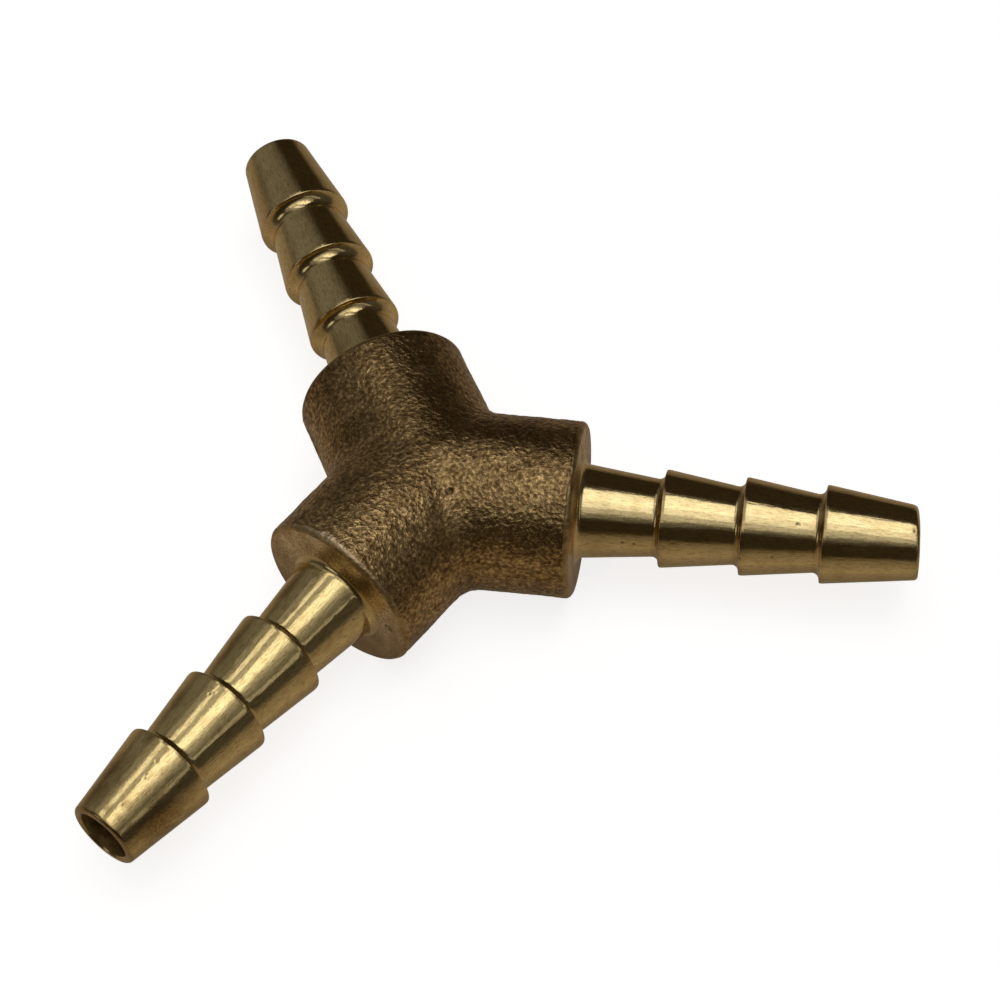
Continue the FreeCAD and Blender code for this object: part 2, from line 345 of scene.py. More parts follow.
# Light of the room
SIDE_GLOW = 0.035
PANELS_FADE_IN = (0.1, 0.2)  # by the sine of the height above the horizon
CEILING_PANELS = [  # (left and right edges, near and far edges, strength), each edge as (place, softness)
    (((0.02, 0.03), (0.44, 0.19)), ((-0.85, 0.06), (0.42, 0.05)), 0.22),
    (((0.02, 0.03), (0.44, 0.19)), ((-0.46, 0.06), (0.42, 0.05)), 0.42),
    (((0.02, 0.03), (0.44, 0.19)), ((-0.13, 0.04), (0.42, 0.05)), 0.25),
    (((0.12, 0.03), (0.30, 0.03)), ((-0.13, 0.02), (-0.06, 0.02)), 0.20),
    (((-0.34, 0.05), (0.02, 0.03)), ((-0.98, 0.08), (-0.36, 0.08)), 0.30),
    (((-0.40, 0.05), (0.02, 0.03)), ((-0.30, 0.10), (0.60, 0.15)), 0.12),
    (((-0.38, 0.04), (-0.21, 0.05)), ((-0.10, 0.10), (0.80, 0.15)), 0.60),
    (((-0.75, 0.10), (-0.40, 0.05)), ((0.10, 0.10), (0.80, 0.10)), 0.14),
    (((0.55, 0.10), (1.25, 0.10)), ((-1.00, 0.10), (0.20, 0.10)), 0.09),
    (((1.25, 0.06), (1.72, 0.06)), ((-1.60, 0.20), (0.30, 0.20)), 0.26),
]
SKY_PATCHES = [  # (azimuth and elevation, full within, gone beyond, strength)
    ((0, 78), 12, 46, 0.27),
    ((-125, 28), 8, 38, 0.095),
    ((-56, 26), 4, 15, 0.50),
]
ROOM_STOPS = [  # by the sine of the height above the horizon, from 0 at straight down to 1 at straight up
    (0.0, (0.158, 0.130, 0.100)),
    (0.15, (0.258, 0.208, 0.155)),
    (0.42, (0.152, 0.121, 0.087)),
    (0.48, (0.078, 0.062, 0.042)),
    (0.53, (0.024, 0.018, 0.010)),
    (1.0, (0.024, 0.018, 0.011)),
]

# Sockets of Blender's Mix node for colours
MIX_FACTOR, MIX_FIRST, MIX_SECOND, MIX_RESULT = 0, 6, 7, 2


def smoothstep(low, high, values):
    """0 below low, 1 above high, and a smooth rise between them."""
    share = np.clip((values - low) / (high - low), 0.0, 1.0)
    return share * share * (3.0 - 2.0 * share)


def turned(points, degrees):
    """Points turned about +Z."""
    turn = np.array(Matrix.Rotation(math.radians(degrees), 3, "Z"))
    return points @ turn.T


def direction(azimuth, elevation):
    """The unit vector towards a place in the sky. Azimuth 0 is -Y and 90 is +X, both in degrees."""
    turn, rise = math.radians(azimuth), math.radians(elevation)
    return Vector((math.sin(turn) * math.cos(rise), -math.cos(turn) * math.cos(rise), math.sin(rise)))


def unit(vectors):
    """Vectors of length 1."""
    return vectors / np.linalg.norm(vectors, axis=-1, keepdims=True)


def noise_at(points, size):
    """Smooth noise from about -1 to 1 whose coarsest waves are about size long."""
    return np.array([
        noise.fractal(Vector(point), NOISE_FALL, NOISE_STEP, NOISE_OCTAVES) for point in points / size
    ])


def round_axis(points):
    """Each point's distance from the X axis and its angle round it, from the XY plane."""
    return np.hypot(points[:, 1], points[:, 2]), np.arctan2(points[:, 2], points[:, 1])


def turn_from(around, degrees):
    """Each angle seen from a direction, from half a turn one way to half a turn the other."""
    return (around - math.radians(degrees) + math.pi) % FULL_TURN - math.pi


# ---------------------------------------------------------------- sizes from the CAD model


def read_sizes(frame):
    """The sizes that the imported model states."""
    hub_low, hub_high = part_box("hub_casting")
    tail_low, tail_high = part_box("hose_tail_a")
    mounts = {mount["name"]: mount for mount in frame["record"]["mounts"]}
    return {
        "boss_radius": hub_high.z,
        "boss_length": hub_high.x,
        "spigot_start": tail_low.x,
        "tip": tail_high.x,
        "foot_radius": tail_high.z,
        "crest_radius": mounts["hose_a"]["dims"]["r_mm"] * MM,
        "bore_radius": mounts["bore_a"]["dims"]["r_mm"] * MM,
        "floor": hub_low.z,
    }


# ---------------------------------------------------------------- meshes


def ring_angles(count):
    """Angles round the X axis, from the plane of the legs."""
    return np.arange(count) * (FULL_TURN / count)


def ring_of(along, radius, count):
    """A ring round the X axis."""
    angles = ring_angles(count)
    return np.stack([np.full(count, along), radius * np.cos(angles), radius * np.sin(angles)], axis=1)


def bridge(rings, count):
    """Faces between rings of count points, numbered ring after ring."""
    faces = []
    for row in range(len(rings) - 1):
        here, there = row * count, (row + 1) * count
        for step in range(count):
            after = (step + 1) % count
            faces.append((here + step, here + after, there + after, there + step))
    return faces


def add_shade(mesh, name, values):
    """Stores a named number or vector for each vertex."""
    values = np.asarray(values, np.float32)
    if values.ndim == 1:
        mesh.attributes.new(name, "FLOAT", "POINT").data.foreach_set("value", values)
    else:
        mesh.attributes.new(name, "FLOAT_VECTOR", "POINT").data.foreach_set("vector", values.ravel())


def read_shade(mesh, name):
    """A named number for each vertex."""
    values = np.zeros(len(mesh.vertices), np.float32)
    mesh.attributes[name].data.foreach_get("value", values)
    return values.astype(float)


def read_points(mesh, what):
    """Every vertex's place or normal."""
    values = np.zeros(len(mesh.vertices) * 3, np.float32)
    mesh.vertices.foreach_get(what, values)
    return values.reshape(-1, 3).astype(float)


def new_mesh(name, points, faces, kinds, shades):
    """A smooth closed mesh with a material number for each face and named shades for each point."""
    mesh = bpy.data.meshes.new(name)
    mesh.from_pydata(points.tolist(), [], faces)
    mesh.polygons.foreach_set("material_index", np.asarray(kinds, np.int32))
    for shade, values in shades.items():
        add_shade(mesh, shade, values)
    shape = bmesh.new()
    shape.from_mesh(mesh)
    bmesh.ops.remove_doubles(shape, verts=shape.verts, dist=MERGE)
    bmesh.ops.recalc_face_normals(shape, faces=shape.faces)
    shape.to_mesh(mesh)
    shape.free()
    mesh.shade_smooth()
    return mesh


def mark_sharp(mesh, soft=None):
    """Keeps corners crisp, except where both faces have the soft material."""
    shape = bmesh.new()
    shape.from_mesh(mesh)
    for edge in shape.edges:
        if len(edge.link_faces) == 2:
            both_soft = all(face.material_index == soft for face in edge.link_faces)
            edge.smooth = both_soft or edge.calc_face_angle(0.0) < SHARP_CORNER
    shape.to_mesh(mesh)
    shape.free()


def new_object(name, mesh, materials):
    """An object in the scene, with its materials."""
    for material in materials:
        mesh.materials.append(material)
    made = bpy.data.objects.new(name, mesh)
    bpy.context.scene.collection.objects.link(made)
    return made


# ---------------------------------------------------------------- hub


def crotch_arcs(angles, radius):
    """The arcs that blend a boss into its neighbours, as (radius, centre, first and second spoke, sweep)."""
    flat, rise = np.abs(np.cos(angles)), np.sin(angles)
    blend = CROTCH_RADIUS + (SADDLE_RADIUS - CROTCH_RADIUS) * rise**2
    reach = radius + blend
    centre = np.stack([reach * flat / math.tan(HALF_GAP), reach * flat, reach * rise], axis=1)
    first = np.stack([np.zeros_like(flat), -flat, -rise], axis=1)
    across = math.sin(HALF_GAP) * flat
    last = unit(np.stack([-across * math.cos(HALF_GAP), -across * math.sin(HALF_GAP), -rise], axis=1))
    sweep = np.arccos(np.clip((first * last).sum(axis=1), -1.0, 1.0))
    second = last - first * np.cos(sweep)[:, None]
    second /= np.maximum(np.sin(sweep), TINY)[:, None]
    return blend, centre, first, second, sweep


def boss_side(sizes):
    """Rings of a boss's cast side along +X, from its rim to the planes midway to its neighbours."""
    radius, start = sizes["boss_radius"], sizes["boss_length"] - BOSS_CHAMFER
    angles = ring_angles(BOSS_SEGMENTS)
    flat, rise = np.abs(np.cos(angles)), np.sin(angles)
    blend, centre, first, second, sweep = crotch_arcs(angles, radius)
    straight = start - centre[:, 0]
    whole = straight + blend * sweep
    rings = []
    for row in range(BOSS_ROWS + 1):
        gone = whole * row / BOSS_ROWS
        line = np.stack([start - gone, radius * flat, radius * rise], axis=1)
        turn = np.maximum(gone - straight, 0.0) / blend
        arc = centre + blend[:, None] * (first * np.cos(turn)[:, None] + second * np.sin(turn)[:, None])
        ring = np.where((gone < straight)[:, None], line, arc)
        ring[:, 1] *= np.sign(np.cos(angles))
        rings.append(ring)
    return rings


def boss_inside(sizes):
    """The boss's chamfer, end face, socket and water way, from the rim to the planes between the legs."""
    face, bore, start = sizes["boss_length"], sizes["bore_radius"], sizes["spigot_start"]
    outer, inner = sizes["boss_radius"] - BOSS_CHAMFER, SPIGOT_RADIUS + SOCKET_MOUTH
    inset = BOSS_CHAMFER * RIM_MIDDLE
    shares = np.arange(FACE_RINGS + 1) / FACE_RINGS
    steps = [(face - inset, sizes["boss_radius"] - inset)]
    steps += [(face, outer + (inner - outer) * share) for share in shares]
    steps += [(face - SOCKET_MOUTH, SPIGOT_RADIUS), (start, SPIGOT_RADIUS), (start, bore)]
    end = ring_of(0.0, bore, BOSS_SEGMENTS)
    end[:, 0] = np.abs(end[:, 1]) / math.tan(HALF_GAP)
    return [ring_of(along, radius, BOSS_SEGMENTS) for along, radius in steps] + [end]


def scraped_rim(points, sizes):
    """How far each point lies in the ragged strip that the facing cut has scraped, from 0 to 1."""
    _, around = round_axis(points)
    width = SCRAPE_WIDTH * ((1.0 + np.cos(around - SCRAPE_SIDE)) / 2) ** SCRAPE_SPREAD
    ragged = SCRAPE_RAGGED * noise_at(points, SCRAPE_RAGGED_SIZE)
    inside = points[:, 0] - (sizes["boss_length"] - BOSS_CHAMFER - width + ragged)
    return smoothstep(-SCRAPE_EDGE, SCRAPE_EDGE, inside)


def boss_kinds(faces):
    """The material of each face of one boss, whose rings run from the cast side to the bore."""
    first_faced = (BOSS_ROWS + RIM_ROWS) * BOSS_SEGMENTS
    first_bored = first_faced + FACE_RINGS * BOSS_SEGMENTS
    kinds = np.full(len(faces), MAIN)
    kinds[first_faced:] = FACED
    kinds[first_bored:] = BORED
    return kinds


def hub_mesh(sizes):
    """The hub's plain shape: points, faces, each face's material, and where it is machined and scraped."""
    side = boss_side(sizes)
    rings = side[::-1] + boss_inside(sizes)
    local = np.concatenate(rings)
    count_side = len(side) * BOSS_SEGMENTS
    machined = np.ones(len(local))
    machined[:count_side - BOSS_SEGMENTS] = 0.0
    scrape = np.zeros(len(local))
    scrape[:count_side] = scraped_rim(local[:count_side], sizes)
    scraped = [scrape if leg == SCRAPED_LEG else scrape * 0.0 for leg in LEGS]
    leg_faces = bridge(rings, BOSS_SEGMENTS)
    points = np.concatenate([turned(local, degrees) for degrees in LEGS.values()])
    faces = [
        tuple(corner + leg * len(local) for corner in face)
        for leg in range(len(LEGS))
        for face in leg_faces
    ]
    shades = {"machined": np.tile(machined, len(LEGS)), "scraped": np.concatenate(scraped)}
    return points, faces, np.tile(boss_kinds(leg_faces), len(LEGS)), shades


def cast_relief(points):
    """The as-cast skin's swells and its grain, each as a height over the plain shape."""
    return SWELL_DEPTH * noise_at(points, SWELL_SIZE), GRAIN_DEPTH * noise_at(points, GRAIN_SIZE)


def leg_places(points):
    """For each point the leg it is on, how far along it and how far round it from the legs' plane."""
    turned_back = np.stack([turned(points, -degrees) for degrees in LEGS.values()])
    leg = np.argmax(turned_back[:, :, 0], axis=0)
    local = turned_back[leg, np.arange(len(points))]
    _, around = round_axis(local)
    return np.array(list(LEGS))[leg], local[:, 0], around


def ridge_relief(points, sizes):
    """Height of the parting ridge, which runs out before the rim and in the crotches."""
    _, along, _ = leg_places(points)
    end = sizes["boss_length"] - BOSS_CHAMFER
    height = smoothstep(RIDGE_START - RIDGE_RUN_OUT, RIDGE_START, along)
    height *= 1.0 - smoothstep(end - RIDGE_RUN_OUT, end, along)
    return RIDGE_HEIGHT * height * np.exp(-((points[:, 2] / RIDGE_HALF_WIDTH) ** 2))


def seam_relief(points, sizes):
    """The crease above the parting ridge and the calmer skin below it, as (height, share of grain left)."""
    legs, along, around = leg_places(points)
    height, grain = np.zeros(len(points)), np.ones(len(points))
    for leg, near, far, start, end, strength in SEAMS:
        share = (along - near) / (far - near)
        line = start + (end - start) * np.clip(share, 0.0, 1.0)
        below = sizes["boss_radius"] * np.radians(np.degrees(around) % 360.0 - line)
        here = strength * (legs == leg)
        here = here * smoothstep(-SEAM_RUN_OUT, 0.0, share) * smoothstep(-SEAM_RUN_OUT, 0.0, 1 - share)
        height -= here * SEAM_DEPTH * np.exp(-((below / SEAM_HALF_WIDTH) ** 2))
        calm = smoothstep(0.0, SEAM_HALF_WIDTH, below) * (1.0 - smoothstep(*CALM_END, below))
        height += here * SEAM_STEP * calm
        grain *= 1.0 - CALM_STRENGTH * here * calm
    return height, grain


def pit_depths(distances, size):
    """Depth of a pit, as a share of its deepest, at distances from its middle."""
    return np.exp(-((distances / size) ** 2))


def hub_pits(points):
    """Depths of the casting's pits, and how much painted shade each point gets in them."""
    depth, dark = np.zeros(len(points)), np.zeros(len(points))
    for leg, along, around, radius, size, deepest in HUB_PITS:
        turn = math.radians(around)
        middle = np.array([[along, radius * math.cos(turn), radius * math.sin(turn)]])
        middle = turned(middle, LEGS[leg])[0]
        share = pit_depths(np.linalg.norm(points - middle, axis=1), size)
        depth += deepest * share
        dark = np.maximum(dark, share)
    return depth, dark


def roughen_hub(mesh, sizes):
    """Gives the plain hub its cast skin, seams and pits."""
    points, normals = read_points(mesh, "co"), read_points(mesh, "normal")
    swell, grain = cast_relief(points)
    seam, grain_left = seam_relief(points, sizes)
    relief = swell + grain * grain_left + seam + ridge_relief(points, sizes)
    relief *= 1.0 - read_shade(mesh, "machined")
    depth, dark = hub_pits(points)
    relief -= depth
    mesh.vertices.foreach_set("co", (points + normals * relief[:, None]).astype(np.float32).ravel())
    # the pits' painted shade
    add_shade(mesh, "pit", dark)
    add_shade(mesh, "calm", 1.0 - grain_left)
    mesh.update()


def make_hub(sizes, materials):
    """The cast hub, as one closed piece."""
    mesh = new_mesh("hub", *hub_mesh(sizes))
    roughen_hub(mesh, sizes)
    hub = new_object("hub", mesh, materials)
    mark_sharp(mesh, soft=MAIN)
    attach(hub, "root")
    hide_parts("hub_casting")


# ---------------------------------------------------------------- hose tails


def tail_corners(leg, sizes):
    """Corners of half of a tail's section as (along, from the axis, rounding, longest row that follows)."""
    face, bore = sizes["boss_length"], sizes["bore_radius"]
    seat, start = face + FOOT_THICKNESS, sizes["spigot_start"]
    corners = [
        (start, bore, 0, HIDDEN_ROW),
        (start, SPIGOT_RADIUS - SPIGOT_LEAD, 0, HIDDEN_ROW),
        (start + SPIGOT_LEAD, SPIGOT_RADIUS, 0, HIDDEN_ROW),
        (face, SPIGOT_RADIUS, 0, HIDDEN_ROW),
        (face, sizes["foot_radius"], 0, TAIL_ROW),
        (seat, ROOT_RADIUS, ROOT_FILLET, TAIL_ROW),
    ]
    for number in range(BARBS):
        crest = face + FIRST_CREST + number * BARB_PITCH
        corners += [
            (crest - STEP_RUN, VALLEY_RADIUS, STEP_FILLETS[leg], TAIL_ROW),
            (crest, sizes["crest_radius"], CREST_ROUND, TAIL_ROW),
            (crest + CREST_LAND, sizes["crest_radius"], CREST_ROUND, TAIL_ROW),
        ]
    tip = sizes["tip"]
    return corners + [
        (tip, TIP_RADIUS, TIP_ROUND, TAIL_ROW),
        (tip, bore + TIP_COUNTERSINK, 0, TAIL_ROW),
        (tip - TIP_COUNTERSINK, bore, 0, HIDDEN_ROW),
    ]


def rounded_corner(before, corner, after, radius):
    """Points of the arc that rounds a corner between two straight lines."""
    back, on = unit(before - corner), unit(after - corner)
    half = math.acos(np.clip(back @ on, -1.0, 1.0)) / 2
    reach = radius / math.tan(half)
    start, end = corner + back * reach, corner + on * reach
    centre = corner + unit(back + on) * (radius / math.sin(half))
    shares = np.linspace(0.0, 1.0, ARC_STEPS + 1)[:, None]
    spokes = unit((start - centre) * (1 - shares) + (end - centre) * shares)
    return list(centre + radius * spokes)


def tail_outline(leg, sizes):
    """The closed section as points, with its corners rounded and its long lines divided."""
    corners = tail_corners(leg, sizes)
    places = [np.array(corner[:2]) for corner in corners]
    pieces = []
    for index, (along, across, rounding, row) in enumerate(corners):
        before, after = places[index - 1], places[(index + 1) % len(places)]
        if rounding:
            pieces.append((rounded_corner(before, places[index], after, rounding), row))
        else:
            pieces.append(([places[index]], row))
    outline = []
    for (points, row), (following, _) in zip(pieces, pieces[1:] + pieces[:1]):
        outline += points
        gap = following[0] - points[-1]
        steps = math.ceil(np.linalg.norm(gap) / row)
        outline += [points[-1] + gap * step / steps for step in range(1, steps)]
    return np.array(outline)


def dent_places(leg, sizes):
    """The dents of one tail as (along, degrees round it, size, depth): those seen and some more like them."""
    random = np.random.default_rng(DENT_SEED + ord(leg))
    start, end = sizes["boss_length"] + ROOT_FILLET, sizes["tip"]
    dents = list(TAIL_DENTS.get(leg, []))
    for _ in range(STRAY_DENTS):
        size = random.uniform(*DENT_SIZES)
        dents.append((random.uniform(start, end), random.uniform(0, 360), size, size * DENT_STEEPNESS))
    return dents


def worn_tip(points, around, leg, sizes):
    """How far the worn side of a tip stands back from where it was cut off."""
    worn = TIP_WEAR.get(leg, 0.0) * ((1.0 + np.cos(around - TIP_WEAR_SIDE)) / 2) ** TIP_WEAR_SPREAD
    return worn * smoothstep(sizes["tip"] - TIP_WEAR_REACH, sizes["tip"], points[:, 0])


def dent_tail(points, leg, sizes):
    """A tail's points with its dents pressed in, and how much painted shade each point gets in them."""
    radius, around = round_axis(points)
    outside = radius > sizes["bore_radius"] + BORE_MARGIN
    depth, dark = np.zeros(len(points)), np.zeros(len(points))
    for along, degrees, size, deepest in dent_places(leg, sizes):
        aside = radius * turn_from(around, degrees)
        share = pit_depths(np.hypot(points[:, 0] - along, aside), size) * outside
        depth += deepest * share
        dark = np.maximum(dark, share * min(1.0, deepest / FULL_SHADE_DEPTH))
    wobble = WOBBLE_DEPTH * noise_at(points * WOBBLE_STRETCH, WOBBLE_SIZE) * outside
    scale = (radius - depth + wobble) / radius
    along = points[:, 0] - worn_tip(points, around, leg, sizes)
    return np.stack([along, points[:, 1] * scale, points[:, 2] * scale], axis=1), dark


def stain_and_shade_tail(points, leg, sizes):
    """How stained each point of a tail is, from 0 to 1, including the stains that are painted shade."""
    radius, around = round_axis(points)
    stains_and_shade = np.zeros(len(points))
    for along, degrees, reach, spread, strength in TAIL_STAINS_AND_SHADE[leg]:
        aside = radius * turn_from(around, degrees)
        share = np.exp(-((points[:, 0] - along) / reach) ** 2 - (aside / spread) ** 2)
        stains_and_shade = np.maximum(stains_and_shade, strength * share)
    for number in range(BARBS):
        valley = sizes["boss_length"] + FIRST_CREST + number * BARB_PITCH - STEP_RUN
        share = pit_depths(points[:, 0] - valley, VALLEY_REACH)
        stains_and_shade = np.maximum(stains_and_shade, VALLEY_STAINS_AND_SHADE[leg] * share)
    return stains_and_shade


def tail_kinds(outline, sizes):
    """The material of each row of a tail's faces."""
    along, across = outline.T
    kinds = np.full(len(outline), MAIN)
    kinds[across < sizes["bore_radius"] + TIP_COUNTERSINK / 2] = BORED
    foot = np.abs(along - sizes["boss_length"]) < FOOT_THICKNESS * 2
    kinds[foot & (across > ROOT_RADIUS + FACED_FROM)] = FACED
    return kinds


def tail_mesh(leg, degrees, sizes):
    """One tail's mesh. Each point also keeps its place on a tail that lies along +X, for the finish."""
    outline = tail_outline(leg, sizes)
    rings = [ring_of(along, radius, TAIL_SEGMENTS) for along, radius in outline]
    faces = bridge(rings + rings[:1], TAIL_SEGMENTS)
    points, dark = dent_tail(np.concatenate(rings), leg, sizes)
    faces = [tuple(corner % len(points) for corner in face) for face in faces]
    kinds = np.repeat(tail_kinds(outline, sizes), TAIL_SEGMENTS)
    radius, _ = round_axis(points)
    dulled = smoothstep(ROOT_RADIUS + DULL_FROM, ROOT_RADIUS + FACED_FROM, radius)
    # pit holds the dents' painted shade
    # stain holds real stains and painted shade
    shades = {"pit": dark, "stain": stain_and_shade_tail(points, leg, sizes), "dulled": dulled, "place": points}
    return new_mesh(f"tail_{leg}", turned(points, degrees), faces, kinds, shades)


def make_tail(leg, degrees, sizes, materials):
    """One turned hose tail, as a closed piece."""
    mesh = tail_mesh(leg, degrees, sizes)
    tail = new_object(f"tail_{leg}", mesh, materials)
    mark_sharp(mesh)
    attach(tail, "root")
    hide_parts(f"hose_tail_{leg}")


# ---------------------------------------------------------------- shader nodes


def add_node(tree, kind, inputs=None, **settings):
    """A node with its settings, and its inputs set to values or linked to sockets."""
    made = tree.nodes.new(kind)
    for name, setting in settings.items():
        setattr(made, name, setting)
    for name, given in (inputs or {}).items():
        if isinstance(given, bpy.types.NodeSocket):
            tree.links.new(given, made.inputs[name])
        else:
            made.inputs[name].default_value = given
    return made


def new_material(name):
    """An empty material and its node tree."""
    material = bpy.data.materials.new(name)
    material.use_nodes = True
    material.node_tree.nodes.clear()
    return material, material.node_tree


def ramp(tree, factor, stops):
    """A colour ramp through (place, colour) stops."""
    made = add_node(tree, "ShaderNodeValToRGB", {"Fac": factor})
    elements = made.color_ramp.elements
    while len(elements) > 1:
        elements.remove(elements[0])
    for index, (place, colour) in enumerate(stops):
        element = elements[0] if index == 0 else elements.new(place)
        element.position = place
        element.color = (*colour, 1.0)
    return made.outputs["Color"]


def remap(tree, value, reach, result, smooth=False):
    """A value's range mapped to another range, and kept inside it."""
    kind = "SMOOTHSTEP" if smooth else "LINEAR"
    made = add_node(tree, "ShaderNodeMapRange", {
        "Value": value, "From Min": reach[0], "From Max": reach[1], "To Min": result[0], "To Max": result[1],
    }, interpolation_type=kind)
    return made.outputs["Result"]


def wave(tree, where, layer, shift=0.0):
    """A layer's noise, from 0 to 1. The shift moves it, so that two uses of it differ."""
    size, detail, stretch = layer
    scale = tuple(1.0 / (size * longer) for longer in stretch)
    moved = add_node(tree, "ShaderNodeMapping", {
        "Vector": where, "Scale": scale, "Location": (shift, shift, shift),
    })
    made = add_node(tree, "ShaderNodeTexNoise", {
        "Vector": moved.outputs["Vector"], "Scale": 1.0, "Detail": detail,
    })
    return made.outputs["Fac"]


def combine(tree, operation, first, second):
    """The result of one operation on two values."""
    return add_node(tree, "ShaderNodeMath", {0: first, 1: second}, operation=operation).outputs["Value"]


def scaled(tree, first, second):
    """Two values multiplied."""
    return combine(tree, "MULTIPLY", first, second)


def mix_colours(tree, factor, first, second, blend="MIX"):
    """Two colours mixed. Each is a socket or a plain colour."""
    made = add_node(tree, "ShaderNodeMix", {MIX_FACTOR: factor}, data_type="RGBA", blend_type=blend)
    for index, given in ((MIX_FIRST, first), (MIX_SECOND, second)):
        if isinstance(given, bpy.types.NodeSocket):
            tree.links.new(given, made.inputs[index])
        else:
            made.inputs[index].default_value = (*given, 1.0)
    return made.outputs[MIX_RESULT]


def bump(tree, height, distance, normal=None):
    """A bump from a height of 0 to 1 that stands for a distance."""
    inputs = {"Height": height, "Distance": distance, "Strength": 1.0}
    if normal is not None:
        inputs["Normal"] = normal
    return add_node(tree, "ShaderNodeBump", inputs).outputs["Normal"]


def object_place(tree):
    """The place on the object, in metres."""
    return add_node(tree, "ShaderNodeTexCoord").outputs["Object"]


def read_number(tree, name):
    """A number stored on the mesh."""
    return add_node(tree, "ShaderNodeAttribute", attribute_name=name).outputs["Fac"]


def finish_metal(tree, colour, rough, normal, metallic=1.0):
    """Ends a material's nodes with a metal surface."""
    shader = add_node(tree, "ShaderNodeBsdfPrincipled", {
        "Base Color": colour, "Metallic": metallic, "Roughness": rough, "Normal": normal,
    })
    add_node(tree, "ShaderNodeOutputMaterial", {"Surface": shader.outputs["BSDF"]})


# ---------------------------------------------------------------- finishes


def cast_colour(tree, where, mottle, crinkle):
    """The brown of the cast skin, mottled with copper; the crinkles' hollows are darker, partly patina and
    partly painted shade, and their peaks paler as painted glints.
    """
    brown = ramp(tree, wave(tree, where, CAST_PATINA), PATINA_STOPS)
    colour = mix_colours(tree, 1.0, brown, ramp(tree, mottle, MOTTLE_STOPS), "MULTIPLY")
    # painted glints on the crinkles' peaks and painted shade in their hollows
    return mix_colours(tree, 1.0, colour, ramp(tree, crinkle, CRINKLE_GLINT_AND_SHADE_STOPS), "MULTIPLY")


def cast_brass():
    """Brass as cast: brown, crinkled and dull, brighter where the facing cut has skimmed it."""
    material, tree = new_material("cast_brass")
    where = object_place(tree)
    shades = ("machined", "scraped", "pit", "calm")
    machined, scraped, pit, calm = (read_number(tree, shade) for shade in shades)
    mottle = wave(tree, where, CAST_MOTTLE, MOTTLE_SHIFT)
    crinkle = wave(tree, where, CAST_CRINKLE)
    skimmed = scaled(tree, machined, remap(tree, mottle, *SKIMMED_SHARE))
    calmed = scaled(tree, calm, CALM_SHARE)
    colour = cast_colour(tree, where, mottle, crinkle)
    for share, over in (
        (calmed, CALM_COLOUR),
        (scraped, SCRAPED_COLOUR),
        (skimmed, SKIMMED_COLOUR),
        # painted shade in the pits
        (scaled(tree, pit, PIT_SHADE_SHARE), CAST_PIT_SHADE_COLOUR),
    ):
        colour = mix_colours(tree, share, colour, over)
    peaks = remap(tree, crinkle, *CRINKLE_ROUGHNESS)
    rough = remap(tree, machined, (0.0, 1.0), (peaks, MACHINED_ROUGHNESS))
    skin = combine(tree, "SUBTRACT", 1.0, combine(tree, "MAXIMUM", skimmed, calmed))
    normal = bump(tree, scaled(tree, crinkle, skin), CRINKLE_HEIGHT)
    normal = bump(tree, scaled(tree, wave(tree, where, CAST_SAND), skin), SAND_HEIGHT, normal)
    finish_metal(tree, colour, rough, normal)
    return material


def faced_brass():
    """The faced ends of the bosses: dull brass with stains and fine specks, and painted shade that darkens
    them towards the floor.
    """
    material, tree = new_material("faced_brass")
    where = object_place(tree)
    stain = wave(tree, where, FACED_STAIN)
    speck = wave(tree, where, FACED_SPECK)
    height = add_node(tree, "ShaderNodeSeparateXYZ", {"Vector": where}).outputs["Z"]
    colour = ramp(tree, stain, FACED_STOPS)
    colour = mix_colours(tree, 1.0, colour, ramp(tree, speck, SPECK_STOPS), "MULTIPLY")
    # painted shade in the pits
    colour = mix_colours(tree, scaled(tree, read_number(tree, "pit"), PIT_SHADE_SHARE), colour, FACED_PIT_SHADE_COLOUR)
    # painted shade: darker towards the floor, by height alone
    colour = mix_colours(tree, remap(tree, height, *FACED_PAINTED_SHADE_SHARE), colour, FACED_PAINTED_SHADE_COLOUR)
    finish_metal(tree, colour, remap(tree, stain, *FACED_ROUGHNESS), bump(tree, speck, FACED_HEIGHT))
    return material


def bored_brass():
    """The drilled water ways: brown with oxide, so that some light finds its way in."""
    material, tree = new_material("bored_brass")
    where = object_place(tree)
    colour = ramp(tree, wave(tree, where, BORED_STAIN), BORED_STOPS)
    normal = bump(tree, wave(tree, where, BORED_CRUST), CRUST_HEIGHT)
    finish_metal(tree, colour, BORED_ROUGHNESS, normal, BORED_METAL)
    return material


def tail_tarnish_and_shade(tree, blot, speck, wear):
    """How tarnished a tail is at each place: in blots, and where it is stained, some of which is painted
    shade.
    """
    stains_and_shade = scaled(tree, read_number(tree, "stain"), remap(tree, blot, *STAIN_PATCHES))
    tarnish_and_shade = combine(tree, "MAXIMUM", remap(tree, blot, TARNISH_BLOTS, (0.0, wear)), stains_and_shade)
    return scaled(tree, tarnish_and_shade, remap(tree, speck, *TARNISH_SPECKS))


